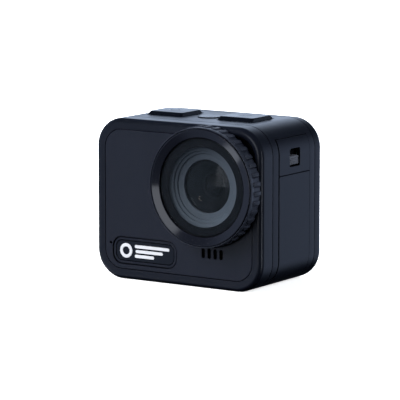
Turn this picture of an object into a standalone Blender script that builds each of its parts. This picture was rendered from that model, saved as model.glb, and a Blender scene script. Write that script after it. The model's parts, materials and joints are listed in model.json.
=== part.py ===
"""Waterproof action camera with a twist-on lens cover, two top buttons and a side battery door.

Frame: +X to the viewer's right when facing the lens, -Y out of the lens, +Z up.
The origin is the centre of the bounding box, at the height of the base.
Lengths below are millimetres.  A "depth" counts from the front face towards the back.
"""
import bpy
import math

MM = 0.001
GAP = 0.3
EDGE = 0.1

# ---------------------------------------------------------------- driving dimensions
WIDTH = 62.0
HEIGHT = 51.4
CORNER = 9.3
BODY_DEPTH = 36.5
WALL = 1.6
FRONT_ROUND = 2.2
REAR_ROUND = 2.6
FRONT_SEAM = 6.5
REAR_SEAM = 31.4
FRONT_PLATE = 4.0
REAR_PLATE = 1.6

PANEL_MARGIN = 3.35
PANEL_THICK = 0.8
PANEL_POCKET = 1.1

LENS_X = 11.9
LENS_Z = 32.5
COVER_FRONT = -5.45
COVER_R = 18.75
COVER_BORE_R = 16.5
KNURL_R = 19.0
KNURL_VALLEY_R = 18.55
KNURL_TEETH = 40
KNURL_DEPTHS = (-4.05, -0.45)
KNURL_STEPS = ((0.00, KNURL_VALLEY_R), (0.46, KNURL_VALLEY_R), (0.56, KNURL_R), (0.90, KNURL_R))
GRIP_FRONT = -4.95
NECK_R = 17.6
NECK_END = 1.9
WELL_R = 17.9
MOAT_R = 19.3
POCKET_DEPTH = 2.6
RIM_WIDTH = 1.9
GLASS_R = 15.2
GLASS_DEPTHS = (-4.85, -4.05)
MASK_BORE_R = 12.45
MASK_DEPTHS = (-3.9, -3.75)
BARREL_R = 9.4
BARREL_BORE_R = 8.2
BARREL_DEPTHS = (-0.6, 11.5)
HOLDER_HALF = 10.4
HOLDER_CORNER = 1.5
HOLDER_DEPTHS = (4.3, 12.0)

PANEL_CORNER = 6.2
PANEL_GAP = 0.15
HOLE_START = 0.5
BADGE = (-24.8, -0.4, 4.9, 13.7)
BADGE_CORNER = 3.4
BADGE_INSET = 0.2
EMBLEM_DISC_R = 2.2
EMBLEM_DISC_OFFSET = 5.0
EMBLEM_BAR_END = 14.0
EMBLEM_BAR_HALF = 0.35
EMBLEM_DEPTHS = (0.2, 0.35)
BADGE_PLATE_START = 0.5
MIC_X = 9.6
MIC_PITCH = 2.2
MIC_SLOTS = 4
MIC_Z = (9.6, 12.75)
MIC_WIDTH = 1.3
PINHOLE = (-25.5, 11.4)
PINHOLE_R = 0.4
SPEAKER_SLOTS = 5
SPEAKER_PITCH = 2.2
SPEAKER_SLOT = (14.0, 0.9, 16.5, 23.5)

BUTTON_X = {"record": -14.0, "power": 12.45}
BUTTON_DEPTH = 19.7
BUTTON_BASE = (13.2, 13.85)
BUTTON_TOP = (12.6, 10.45)
BUTTON_PROUD = 1.15
BUTTON_CORNER = 0.9
BUTTON_SEAL_HALVES = (6.0, 4.4)
BUTTON_SEAL_Z = (46.2, 47.5)
SWITCH_HALVES = (2.6, 1.2)
SWITCH_Z = (46.2, 47.2, 47.25, 47.6)
BUTTON_FLANGE = 0.7
BUTTON_FLANGE_Z = (48.4, 49.4)
WINDOW_R = 3.8
WINDOW_FLANGE_R = 4.7
WINDOW_FLANGE_Z = (48.9, 49.5)
WINDOW_CLEAR = 0.25
WINDOW_DEPTH = 18.4

DOOR_DEPTHS = (10.1, 28.4)
DOOR_TOP = 35.6
DOOR_THICK = 1.5
LATCH_TOP = 47.1
HINGE_X = 19.5
HINGE_Z = 0.9
KNUCKLE_ARC = (-80, -310)
NOTCH_X = (HINGE_X - 2.0, HINGE_X + 1.8)
NOTCH_TOP = 2.5
KNUCKLE_R = 0.85
PIN_R = 0.35
PIN_HOLE_R = 0.5
LUG_DEPTHS = (13.0, 24.0)
LUG_END_X = 20.6
KNUCKLE_SLOT_X = (HINGE_X - 1.3, LUG_END_X + 0.5)
KNUCKLE_SLOT_TOP = 2.2
PIN_OVERHANG = 0.7
DOOR_SEAL = (11.0, 26.2, 8.8, 34.9)
DOOR_SEAL_X = (28.7, 29.2)

SLOT_DEPTHS = (16.6, 22.5)
SLOT_Z = (38.0, 43.5)
SPRING_Z = (37.7, 44.5)
SPRING_X = 28.4
SPRING_DEPTH = 13.3
SPRING_R = 0.55
SPRING_WIRE_R = 0.14
SPRING_TURNS = 6
SPRING_RIB = (27.7, 29.6, 12.4, 14.2, 44.7, 45.5)
SLIDER_FOOT = (28.0, 28.9, 12.4, 23.7, 36.4, 37.5)
SLIDER_PLATE = (28.0, 28.9, 15.4, 23.7, 37.3, 42.6)
SLIDER_KNOB = (28.6, 30.75, 16.9, 22.2, 38.2, 41.3)

BATTERY = (-6.0, 27.0, 15.6, 25.8, 4.6, 30.0)
BATTERY_CORNER = 1.2
BATTERY_CLEAR = 0.4
TRAY_WALL = 0.8
TRAY_END = 26.2
CONTACTS = (-8.5, -7.5, 17.5, 24.5, 12.0, 22.0)
TRIPOD_X = -17.0
TRIPOD_DEPTH = 19.0
TRIPOD_BORE_R = 3.15
TRIPOD_OUTER_R = 4.6
TRIPOD_HEIGHT = 8.0

# Plain inner pieces, each as x0, x1, depth0, depth1, z0, z1.
MIC_MESH = (8.7, 17.1, 4.2, 4.4, 9.2, 13.2)
MICROPHONE = (10.1, 15.7, 4.7, 6.3, 9.4, 12.8)
FRONT_LIGHT = (-26.3, -24.7, 4.3, 5.3, 10.8, 12.0)
IMAGE_SENSOR = (7.9, 15.9, 12.2, 12.7, 29.3, 35.7)
SENSOR_BOARD = (2.9, 20.9, 13.0, 13.8, 23.5, 41.5)
STATUS_LIGHT = (-0.9, 0.9, 17.5, 19.3, 46.3, 47.2)
BUTTON_BOARD = (-21.5, 21.5, 9.5, 28.2, 45.2, 46.0)
DISPLAY_MODULE = (-20.5, 20.5, 32.6, 35.5, 9.5, 41.5)
PROCESSOR = (-22.5, -12.5, 26.0, 27.5, 20.0, 31.0)
HEAT_SPREADER = (-19.0, 19.0, 28.9, 29.6, 10.0, 42.0)
SPEAKER = (-29.0, -26.4, 13.0, 25.0, 15.0, 25.0)
CARD_SOCKET = (13.0, 26.4, 15.0, 26.8, 32.0, 34.4)
CARD_SLOT = (14.0, 27.0, 15.4, 26.4, 32.4, 34.0)
MEMORY_CARD = (15.2, 28.2, 15.7, 26.1, 32.8, 33.6)
CARD_ORIGIN = (28.2, 20.9, 33.2)

# The display's window, pocket and glass: x0, x1, z0, z1.
DISPLAY_WINDOW = (-20.8, 20.8, 9.2, 41.8)
GLASS_POCKET = (-26.2, 26.2, 5.8, 45.6)
GLASS_POCKET_CORNER = 4.0
GLASS_POCKET_DEPTH = 0.9
GLASS_THICK = 0.7
GLASS_CLEAR = 0.2

# The socket for the charging cable: depth0, depth1, z0, z1, then its x range.
USB_SHELL = (11.0, 14.2, 10.0, 19.0)
USB_X = (21.0, 28.3)
USB_WALL = 0.3
USB_CORNER = 1.5
USB_MOUTH_START = 22.5

# Flat ring seals inside both seams: insets from the body's outline.
SEAL_INSETS = (1.9, 2.9)
FRONT_SEAL_DEPTHS = (4.3, 8.5)
REAR_SEAL_DEPTHS = (29.9, 33.3)

MAIN_BOARD = (-26.0, 26.0, 5.2, 44.8)
MAIN_BOARD_DEPTHS = (27.8, 28.6)
MAIN_BOARD_CORNER = 2.0
SCREW_X = 23.0
SCREW_Z = (8.5, 43.0)
SCREW_PROFILE = ((1.5, 27.2), (1.5, 27.6), (0.65, 27.65), (0.65, 32.5))
SCREW_CLEAR_R = 1.1
POST_R = 1.8
POST_BORE_R = 0.85
POST_START = 28.9
POST_BORE_END = 33.0

# Turned profiles about the lens axis, as (radius, depth).
TRIM_PROFILE = ((18.65, -5.1), (18.65, -5.3), (18.35, COVER_FRONT), (15.45, -5.0), (15.45, -4.1),
                (16.2, -4.1), (16.2, -5.1))
SEAL_PROFILE = ((14.0, -3.6), (16.1, -3.6), (16.1, -3.0), (14.0, -3.0))
MOUNT_PROFILE = ((15.0, -2.6), (16.2, -2.6), (16.2, 2.2), (17.6, 2.2), (17.6, 3.7), (15.0, 3.7))
BAFFLE_PROFILE = ((13.4, -3.45), (12.3, -3.45), (11.3, -2.95), (11.3, -2.65), (10.0, -2.2), (10.0, -1.9),
                  (8.3, -1.6), (8.3, -0.9), (12.6, -1.7), (14.7, -1.7), (14.7, -2.6), (13.4, -2.6))
DOME_PROFILE = ((2.0, -2.1), (4.0, -1.9), (6.0, -1.55), (7.9, -0.95), (7.9, 0.6))
REAR_GROUP_PROFILE = ((7.0, 6.0), (7.9, 6.6), (7.9, 10.4), (7.0, 11.0))

HALF = WIDTH / 2
DEPTH_MID = (BODY_DEPTH + COVER_FRONT) / 2

# ---------------------------------------------------------------- scene and materials
for old in list(bpy.data.objects):
    bpy.data.objects.remove(old, do_unlink=True)


def make_material(name, colour, roughness, metallic=0.0, alpha=1.0):
    material = bpy.data.materials.new(name)
    material.use_nodes = True
    shader = material.node_tree.nodes["Principled BSDF"]
    shader.inputs["Base Color"].default_value = (*colour, 1.0)
    shader.inputs["Roughness"].default_value = roughness
    shader.inputs["Metallic"].default_value = metallic
    shader.inputs["Alpha"].default_value = alpha
    return material


HOUSING = make_material("housing_black", (0.022, 0.026, 0.038), 0.55)
PANEL = make_material("panel_black", (0.019, 0.023, 0.034), 0.62)
GRIP = make_material("grip_black", (0.032, 0.036, 0.050), 0.50)
TRIM = make_material("ring_gloss", (0.030, 0.034, 0.045), 0.25)
GLOSS = make_material("gloss_black", (0.008, 0.010, 0.016), 0.12)
EMBLEM = make_material("emblem_white", (0.80, 0.81, 0.83), 0.40)
BAFFLE = make_material("baffle_grey", (0.085, 0.105, 0.125), 0.55)
GLASS = make_material("glass", (0.75, 0.80, 0.85), 0.03, alpha=0.25)
LENS_GLASS = make_material("lens_glass", (0.030, 0.040, 0.050), 0.05)
RUBBER = make_material("seal_rubber", (0.030, 0.030, 0.032), 0.80)
STEEL = make_material("steel", (0.60, 0.61, 0.63), 0.30, metallic=1.0)
BRASS = make_material("brass", (0.75, 0.58, 0.30), 0.30, metallic=1.0)
ALUMINIUM = make_material("aluminium", (0.70, 0.71, 0.73), 0.35, metallic=1.0)
BOARD = make_material("board_green", (0.020, 0.110, 0.060), 0.50)
CHIP = make_material("chip_black", (0.020, 0.020, 0.022), 0.45)
CELL = make_material("battery_wrap", (0.055, 0.060, 0.070), 0.45)


# ---------------------------------------------------------------- outlines
def arc(cx, cy, radius, start, end, steps):
    """Points on an arc, both ends included; angles in degrees."""
    points = []
    for i in range(steps + 1):
        angle = math.radians(start + (end - start) * i / steps)
        points.append((cx + radius * math.cos(angle), cy + radius * math.sin(angle)))
    return points


def circle(cx, cy, radius, count=48):
    return arc(cx, cy, radius, 0.0, 360.0 - 360.0 / count, count - 1)


def rounded_rect(x0, x1, z0, z1, radius, steps=6):
    return (arc(x1 - radius, z0 + radius, radius, -90, 0, steps)
            + arc(x1 - radius, z1 - radius, radius, 0, 90, steps)
            + arc(x0 + radius, z1 - radius, radius, 90, 180, steps)
            + arc(x0 + radius, z0 + radius, radius, 180, 270, steps))


def body_outline(inset):
    """The camera's front outline, moved inwards by inset."""
    return rounded_rect(-HALF + inset, HALF - inset, inset, HEIGHT - inset, CORNER - inset)


def rectangle(x0, x1, z0, z1):
    return [(x0, z0), (x1, z0), (x1, z1), (x0, z1)]


def stadium(cx, z0, z1, width):
    """An upright slot with round ends."""
    radius = width / 2
    return arc(cx, z1 - radius, radius, 0, 180, 4) + arc(cx, z0 + radius, radius, 180, 360, 4)


def knurl_outline(cx, cz):
    """A circle with raised teeth: each tooth and each valley has two points."""
    points = []
    pitch = 360.0 / KNURL_TEETH
    for tooth in range(KNURL_TEETH):
        for share, radius in KNURL_STEPS:
            angle = math.radians((tooth + share) * pitch)
            points.append((cx + radius * math.cos(angle), cz + radius * math.sin(angle)))
    return points


# ---------------------------------------------------------------- solids
def place(plane, u, v, w):
    """World position of an outline point (u, v) at the distance w along its sweep."""
    if plane == "front":
        return (u * MM, (w - DEPTH_MID) * MM, v * MM)
    if plane == "top":
        return (u * MM, (v - DEPTH_MID) * MM, w * MM)
    return (w * MM, (u - DEPTH_MID) * MM, v * MM)


def loft(rings, plane="front", closed=False):
    """Vertices and faces of a body through rings, each an (outline, distance) pair.

    A closed loft joins its last ring to its first; an open one has a cap at each end.
    """
    count = len(rings[0][0])
    vertices = []
    for outline, distance in rings:
        vertices += [place(plane, u, v, distance) for u, v in outline]
    faces = []
    spans = len(rings) if closed else len(rings) - 1
    for ring in range(spans):
        low = ring * count
        high = ((ring + 1) % len(rings)) * count
        for i in range(count):
            j = (i + 1) % count
            faces.append((low + i, low + j, high + j, high + i))
    if not closed:
        faces.append(tuple(reversed(range(count))))
        faces.append(tuple(range((len(rings) - 1) * count, len(rings) * count)))
    return vertices, faces


def prism(outline, start, end, plane="front"):
    return loft([(outline, start), (outline, end)], plane)


def turned(profile, cx, cz, count=48, closed=True):
    """A body turned about the lens direction from (radius, depth) points."""
    return loft([(circle(cx, cz, radius, count), depth) for radius, depth in profile], "front", closed)


def box(x0, x1, d0, d1, z0, z1):
    return prism(rectangle(x0, x1, z0, z1), d0, d1)


def signed_volume(vertices, faces):
    total = 0.0
    for face in faces:
        ax, ay, az = vertices[face[0]]
        for second, third in zip(face[1:-1], face[2:]):
            bx, by, bz = vertices[second]
            cx, cy, cz = vertices[third]
            total += ax * (by * cz - bz * cy) + ay * (bz * cx - bx * cz) + az * (bx * cy - by * cx)
    return total


def add_object(name, shapes, material=None):
    """One object from one or more closed shapes, with every shape's faces pointing out."""
    vertices = []
    faces = []
    for shape_vertices, shape_faces in shapes:
        if signed_volume(shape_vertices, shape_faces) < 0:
            shape_faces = [tuple(reversed(face)) for face in shape_faces]
        offset = len(vertices)
        vertices += shape_vertices
        faces += [tuple(index + offset for index in face) for face in shape_faces]
    mesh = bpy.data.meshes.new(name)
    mesh.from_pydata(vertices, [], faces)
    mesh.validate()
    mesh.shade_smooth()
    mesh.set_sharp_from_angle(angle=math.radians(35))
    obj = bpy.data.objects.new(name, mesh)
    bpy.context.scene.collection.objects.link(obj)
    if material is not None:
        mesh.materials.append(material)
    return obj


def solid(name, shape, material):
    return add_object(name, [shape], material)


def combine(obj, name, shapes, operation="DIFFERENCE"):
    """Cut shapes that don't overlap each other out of obj, or join them to it."""
    tool = add_object(obj.name + "_" + name, shapes)
    tool.hide_render = True
    tool.display_type = "WIRE"
    modifier = obj.modifiers.new(name, "BOOLEAN")
    modifier.operation = operation
    modifier.solver = "EXACT"
    modifier.object = tool


def move_origin(obj, x, depth, z):
    """Put the object's origin on its joint's axis, leaving its shape where it is."""
    origin = (x * MM, (depth - DEPTH_MID) * MM, z * MM)
    for vertex in obj.data.vertices:
        vertex.co = [value - shift for value, shift in zip(vertex.co, origin)]
    obj.location = origin


# ---------------------------------------------------------------- front housing and panel
def fillet_rings(radius, face_depth, direction):
    """Rings of the body outline round a front or back edge, from the face outwards."""
    rings = []
    for angle in (0, 30, 60, 90):
        inset = radius * (1 - math.sin(math.radians(angle)))
        depth = face_depth + direction * radius * (1 - math.cos(math.radians(angle)))
        rings.append((body_outline(inset), depth))
    return rings


def mic_slots(start, end):
    slots = []
    for i in range(MIC_SLOTS):
        slots.append(prism(stadium(MIC_X + i * MIC_PITCH, *MIC_Z, MIC_WIDTH), start, end))
    return slots


def lens_corner(start, end):
    """The quarter above and right of the lens, out to the rim."""
    right = HALF - RIM_WIDTH
    top = HEIGHT - RIM_WIDTH
    radius = CORNER - RIM_WIDTH
    outline = [(LENS_X, LENS_Z), (right, LENS_Z)]
    outline += arc(right - radius, top - radius, radius, 0, 90, 6)
    outline.append((LENS_X, top))
    return prism(outline, start, end)


def panel_outline(gap):
    return rounded_rect(-HALF + PANEL_MARGIN + gap, HALF - PANEL_MARGIN - gap,
                        PANEL_MARGIN + gap, HEIGHT - PANEL_MARGIN - gap, PANEL_CORNER - gap)


def ring_seal(depths):
    """A flat rubber ring that follows the body's outline inside a seam."""
    outer, inner = SEAL_INSETS
    front, back = depths
    return loft([(body_outline(outer), front), (body_outline(outer), back),
                 (body_outline(inner), back), (body_outline(inner), front)], closed=True)


def build_front():
    rings = fillet_rings(FRONT_ROUND, 0, 1)
    rings.append((body_outline(0), FRONT_SEAM - GAP / 2))
    rings.append((body_outline(WALL), FRONT_SEAM - GAP / 2))
    rings.append((body_outline(WALL), FRONT_PLATE))
    housing = solid("front_housing", loft(rings), HOUSING)
    combine(housing, "panel_pocket", [prism(panel_outline(0), -1, PANEL_POCKET)])
    combine(housing, "lens_pocket", [lens_corner(-1, POCKET_DEPTH)])
    combine(housing, "lens_well", [prism(circle(LENS_X, LENS_Z, WELL_R), -1, FRONT_PLATE + 1)])
    holes = mic_slots(HOLE_START, FRONT_PLATE + 1)
    holes.append(prism(circle(*PINHOLE, PINHOLE_R, 12), HOLE_START, FRONT_PLATE + 1))
    combine(housing, "holes", holes)

    panel = solid("front_panel", prism(panel_outline(PANEL_GAP), 0, PANEL_THICK), PANEL)
    combine(panel, "lens_corner", [lens_corner(-1, 2)])
    combine(panel, "moat", [prism(circle(LENS_X, LENS_Z, MOAT_R), -1, 2)])
    holes = mic_slots(-1, 2)
    holes.append(prism(circle(*PINHOLE, PINHOLE_R, 12), -1, 2))
    holes.append(prism(rounded_rect(*BADGE, BADGE_CORNER), -1, 2))
    combine(panel, "holes", holes)

    x0, x1, z0, z1 = BADGE
    plate = rounded_rect(x0 + BADGE_INSET, x1 - BADGE_INSET, z0 + BADGE_INSET, z1 - BADGE_INSET,
                         BADGE_CORNER - BADGE_INSET)
    solid("badge_plate", prism(plate, BADGE_PLATE_START, PANEL_THICK), GLOSS)
    disc_x = x0 + EMBLEM_DISC_OFFSET
    mid_z = (z0 + z1) / 2
    neck_x = disc_x + EMBLEM_DISC_R - EDGE
    end_x = disc_x + EMBLEM_BAR_END
    comet = [(end_x, mid_z - EMBLEM_BAR_HALF), (end_x, mid_z + EMBLEM_BAR_HALF)]
    comet.append((neck_x, mid_z + EMBLEM_BAR_HALF))
    comet += arc(disc_x, mid_z, EMBLEM_DISC_R, 20, 340, 20)
    comet.append((neck_x, mid_z - EMBLEM_BAR_HALF))
    solid("badge_emblem", prism(comet, *EMBLEM_DEPTHS), EMBLEM)

    solid("microphone_mesh", box(*MIC_MESH), STEEL)
    solid("microphone", box(*MICROPHONE), CHIP)
    solid("front_light", box(*FRONT_LIGHT), EMBLEM)
    solid("front_seal", ring_seal(FRONT_SEAL_DEPTHS), RUBBER)


# ---------------------------------------------------------------- middle and rear housing
def door_cut_boxes():
    """The door's opening, then the slot for its knuckle between the housing's lugs."""
    front = DOOR_DEPTHS[0] - GAP / 2
    back = DOOR_DEPTHS[1] + GAP / 2
    opening = box(LUG_END_X, HALF + 1, front, back, -1, LATCH_TOP + GAP / 2)
    knuckle_slot = box(*KNUCKLE_SLOT_X, *LUG_DEPTHS, -1, KNUCKLE_SLOT_TOP)
    return opening, knuckle_slot


def build_middle():
    front = FRONT_SEAM + GAP / 2
    back = REAR_SEAM - GAP / 2
    rings = [(body_outline(0), front), (body_outline(0), back),
             (body_outline(WALL), back), (body_outline(WALL), front)]
    housing = solid("middle_housing", loft(rings, closed=True), HOUSING)
    opening, knuckle_slot = door_cut_boxes()
    combine(housing, "door_opening", [opening])
    combine(housing, "knuckle_slot", [knuckle_slot])
    pin_hole = prism(circle(HINGE_X, HINGE_Z, PIN_HOLE_R, 12), DOOR_DEPTHS[0] - 1, DOOR_DEPTHS[1] + 1)
    combine(housing, "pin_hole", [pin_hole])
    wide = BUTTON_BASE[0] / 2 + GAP
    deep = BUTTON_BASE[1] / 2 + GAP
    top_holes = []
    for x in BUTTON_X.values():
        outline = rounded_rect(x - wide, x + wide, BUTTON_DEPTH - deep, BUTTON_DEPTH + deep, BUTTON_CORNER, 3)
        top_holes.append(prism(outline, HEIGHT - 3, HEIGHT + 1, "top"))
    window_hole = circle(0, WINDOW_DEPTH, WINDOW_R + WINDOW_CLEAR, 32)
    top_holes.append(prism(window_hole, HEIGHT - 3, HEIGHT + 1, "top"))
    combine(housing, "top_holes", top_holes)
    bottom = prism(circle(TRIPOD_X, TRIPOD_DEPTH, TRIPOD_OUTER_R + GAP, 32), -1, 3, "top")
    combine(housing, "tripod_hole", [bottom])
    first, width, low, high = SPEAKER_SLOT
    slots = []
    for i in range(SPEAKER_SLOTS):
        depth = first + SPEAKER_PITCH * i
        slots.append(box(-HALF - 1, -HALF + 3, depth, depth + width, low, high))
    combine(housing, "speaker_slots", slots)


def build_rear():
    rings = fillet_rings(REAR_ROUND, BODY_DEPTH, -1)
    rings.append((body_outline(0), REAR_SEAM + GAP / 2))
    rings.append((body_outline(WALL), REAR_SEAM + GAP / 2))
    rings.append((body_outline(WALL), BODY_DEPTH - REAR_PLATE))
    housing = solid("rear_housing", loft(rings), HOUSING)
    inner_face = BODY_DEPTH - REAR_PLATE
    posts = []
    holes = []
    for x in (-SCREW_X, SCREW_X):
        for z in SCREW_Z:
            posts.append(prism(circle(x, z, POST_R, 16), POST_START, inner_face + GAP))
            holes.append(prism(circle(x, z, POST_BORE_R, 12), POST_START - 1, POST_BORE_END))
    combine(housing, "posts", posts, "UNION")
    combine(housing, "post_holes", holes)
    pocket = rounded_rect(*GLASS_POCKET, GLASS_POCKET_CORNER)
    combine(housing, "glass_pocket", [prism(pocket, BODY_DEPTH - GLASS_POCKET_DEPTH, BODY_DEPTH + 1)])
    x0, x1, z0, z1 = DISPLAY_WINDOW
    combine(housing, "display_window", [box(x0, x1, POST_START, BODY_DEPTH + 1, z0, z1)])

    x0, x1, z0, z1 = GLASS_POCKET
    clear = GLASS_CLEAR
    glass = rounded_rect(x0 + clear, x1 - clear, z0 + clear, z1 - clear, GLASS_POCKET_CORNER - clear)
    solid("display_glass", prism(glass, BODY_DEPTH - GLASS_THICK, BODY_DEPTH), GLOSS)
    solid("display_module", box(*DISPLAY_MODULE), CHIP)
    solid("rear_seal", ring_seal(REAR_SEAL_DEPTHS), RUBBER)


# ---------------------------------------------------------------- lens and its cover
def build_lens():
    def at_lens(profile, count=48, closed=True):
        return turned(profile, LENS_X, LENS_Z, count, closed)

    count = KNURL_TEETH * 4

    def ring(radius):
        return circle(LENS_X, LENS_Z, radius, count)

    knurl = knurl_outline(LENS_X, LENS_Z)
    start, end = KNURL_DEPTHS
    grip = [(ring(COVER_R), GRIP_FRONT), (ring(COVER_R), start - EDGE), (knurl, start), (knurl, end),
            (ring(NECK_R), end + EDGE), (ring(NECK_R), NECK_END), (ring(COVER_BORE_R), NECK_END),
            (ring(COVER_BORE_R), GRIP_FRONT)]
    grip_ring = solid("grip_ring", loft(grip, closed=True), GRIP)
    ring_trim = solid("ring_trim", at_lens(TRIM_PROFILE), TRIM)
    glass = [(GLASS_R, depth) for depth in GLASS_DEPTHS]
    cover_glass = solid("cover_glass", at_lens(glass, closed=False), GLASS)
    start, end = MASK_DEPTHS
    mask = [(MASK_BORE_R, start), (GLASS_R, start), (GLASS_R, end), (MASK_BORE_R, end)]
    glass_mask = solid("glass_mask", at_lens(mask), GLOSS)
    glass_seal = solid("glass_seal", at_lens(SEAL_PROFILE), RUBBER)
    for piece in (grip_ring, ring_trim, cover_glass, glass_mask, glass_seal):
        move_origin(piece, LENS_X, 0, LENS_Z)

    solid("lens_mount", at_lens(MOUNT_PROFILE), HOUSING)
    solid("lens_baffle", at_lens(BAFFLE_PROFILE), BAFFLE)
    solid("front_element", at_lens(DOME_PROFILE, closed=False), LENS_GLASS)
    start, end = BARREL_DEPTHS
    barrel = [(BARREL_BORE_R, start), (BARREL_R, start), (BARREL_R, end), (BARREL_BORE_R, end)]
    solid("lens_barrel", at_lens(barrel, 32), CHIP)
    solid("rear_lens_group", at_lens(REAR_GROUP_PROFILE, 32, closed=False), LENS_GLASS)
    holder = rounded_rect(LENS_X - HOLDER_HALF, LENS_X + HOLDER_HALF,
                          LENS_Z - HOLDER_HALF, LENS_Z + HOLDER_HALF, HOLDER_CORNER, 2)
    start, end = HOLDER_DEPTHS
    block = solid("lens_holder", prism(holder, start, end), CHIP)
    combine(block, "bore", [prism(circle(LENS_X, LENS_Z, BARREL_R + GAP, 32), start - 1, end + 1)])
    solid("image_sensor", box(*IMAGE_SENSOR), CHIP)
    solid("sensor_board", box(*SENSOR_BOARD), BOARD)


# ---------------------------------------------------------------- buttons and top window
def build_button(kind, x):
    def outline(half_x, half_y):
        return rounded_rect(x - half_x, x + half_x, BUTTON_DEPTH - half_y, BUTTON_DEPTH + half_y,
                            BUTTON_CORNER, 3)

    base = outline(BUTTON_BASE[0] / 2, BUTTON_BASE[1] / 2)
    top = outline(BUTTON_TOP[0] / 2, BUTTON_TOP[1] / 2)
    flange = outline(BUTTON_BASE[0] / 2 + BUTTON_FLANGE, BUTTON_BASE[1] / 2 + BUTTON_FLANGE)
    low, high = BUTTON_FLANGE_Z
    rings = [(flange, low), (flange, high), (base, high + EDGE), (base, HEIGHT), (top, HEIGHT + BUTTON_PROUD)]
    button = solid(kind + "_button", loft(rings, "top"), GRIP)
    move_origin(button, x, BUTTON_DEPTH, HEIGHT)

    outer, inner = [outline(half, half) for half in BUTTON_SEAL_HALVES]
    low, high = BUTTON_SEAL_Z
    rings = [(outer, low), (outer, high), (inner, high), (inner, low)]
    solid(kind + "_button_seal", loft(rings, "top", closed=True), RUBBER)
    case, dome = [outline(half, half) for half in SWITCH_HALVES]
    rings = list(zip((case, case, dome, dome), SWITCH_Z))
    solid(kind + "_switch", loft(rings, "top"), STEEL)


def build_top():
    for kind, x in BUTTON_X.items():
        build_button(kind, x)
    flange = circle(0, WINDOW_DEPTH, WINDOW_FLANGE_R, 32)
    disc = circle(0, WINDOW_DEPTH, WINDOW_R, 32)
    low, high = WINDOW_FLANGE_Z
    rings = [(flange, low), (flange, high), (disc, high + EDGE / 2), (disc, HEIGHT)]
    solid("status_window", loft(rings, "top"), GLOSS)
    solid("status_light", box(*STATUS_LIGHT), EMBLEM)
    solid("button_board", box(*BUTTON_BOARD), BOARD)


# ---------------------------------------------------------------- battery door and latch
def build_door():
    corner_x = HALF - CORNER
    top = DOOR_TOP - GAP / 2
    outline = [(HALF, top), (HALF, CORNER)]
    outline += arc(corner_x, CORNER, CORNER, 0, -90, 8)[1:]
    outline += arc(HINGE_X, HINGE_Z, KNUCKLE_R, *KNUCKLE_ARC, 10)
    outline += arc(corner_x, CORNER, CORNER - DOOR_THICK, -90, 0, 8)
    outline.append((HALF - DOOR_THICK, top))
    front = DOOR_DEPTHS[0] + GAP / 2
    back = DOOR_DEPTHS[1] - GAP / 2
    door = solid("battery_door", prism(outline, front, back), HOUSING)
    notches = [box(*NOTCH_X, front - 1, LUG_DEPTHS[0] + GAP, -1, NOTCH_TOP),
               box(*NOTCH_X, LUG_DEPTHS[1] - GAP, back + 1, -1, NOTCH_TOP)]
    combine(door, "lug_notches", notches)
    combine(door, "pin_hole", [prism(circle(HINGE_X, HINGE_Z, PIN_HOLE_R, 12), front - 1, back + 1)])
    move_origin(door, HINGE_X, DOOR_DEPTHS[0], HINGE_Z)
    d0, d1, z0, z1 = DOOR_SEAL
    outer = rectangle(d0, d1, z0, z1)
    inner = rectangle(d0 + 1, d1 - 1, z0 + 1, z1 - 1)
    inside, outside = DOOR_SEAL_X
    seal = [(outer, inside), (outer, outside), (inner, outside), (inner, inside)]
    door_seal = solid("door_seal", loft(seal, "side", closed=True), RUBBER)
    move_origin(door_seal, HINGE_X, DOOR_DEPTHS[0], HINGE_Z)
    pin_ends = (DOOR_DEPTHS[0] - PIN_OVERHANG, DOOR_DEPTHS[1] + PIN_OVERHANG)
    solid("door_hinge_pin", prism(circle(HINGE_X, HINGE_Z, PIN_R, 12), *pin_ends), STEEL)


def spring_coil():
    """A round-wire compression spring along Z, as a tube swept round a helix."""
    per_turn = 8
    sides = 5
    wire = SPRING_WIRE_R
    low, high = SPRING_Z
    steps = SPRING_TURNS * per_turn
    rings = []
    for i in range(steps + 1):
        angle = 2 * math.pi * i / per_turn
        z = low + wire + (high - low - 2 * wire) * i / steps
        section = []
        for k in range(sides):
            swing = 2 * math.pi * k / sides
            radius = SPRING_R - wire + wire * math.cos(swing)
            section.append((SPRING_X + radius * math.cos(angle), SPRING_DEPTH + radius * math.sin(angle),
                            z + wire * math.sin(swing)))
        rings.append(section)
    vertices = [(x * MM, (depth - DEPTH_MID) * MM, z * MM) for ring in rings for x, depth, z in ring]
    faces = []
    for ring in range(len(rings) - 1):
        low = ring * sides
        high = low + sides
        for i in range(sides):
            j = (i + 1) % sides
            faces.append((low + i, low + j, high + j, high + i))
    faces.append(tuple(reversed(range(sides))))
    faces.append(tuple(range(len(vertices) - sides, len(vertices))))
    return vertices, faces


def build_latch():
    corner_x = HALF - CORNER
    corner_z = HEIGHT - CORNER
    top = LATCH_TOP - GAP / 2
    bottom = DOOR_TOP + GAP / 2
    inner = CORNER - DOOR_THICK
    outer_end = math.degrees(math.asin((top - corner_z) / CORNER))
    inner_end = math.degrees(math.asin((top - corner_z) / inner))
    outline = [(HALF - DOOR_THICK, bottom), (HALF, bottom)]
    outline += arc(corner_x, corner_z, CORNER, 0, outer_end, 5)
    outline += arc(corner_x, corner_z, inner, inner_end, 0, 5)
    plate = prism(outline, DOOR_DEPTHS[0] + GAP / 2, DOOR_DEPTHS[1] - GAP / 2)
    cover = solid("latch_cover", plate, HOUSING)
    combine(cover, "slot", [box(HALF - 3, HALF + 1, *SLOT_DEPTHS, *SLOT_Z)])
    combine(cover, "spring_rib", [box(*SPRING_RIB)], "UNION")

    slider = solid("latch_slider", box(*SLIDER_FOOT), GRIP)
    combine(slider, "plate", [box(*SLIDER_PLATE)], "UNION")
    combine(slider, "knob", [box(*SLIDER_KNOB)], "UNION")
    solid("latch_spring", spring_coil(), STEEL)


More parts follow.
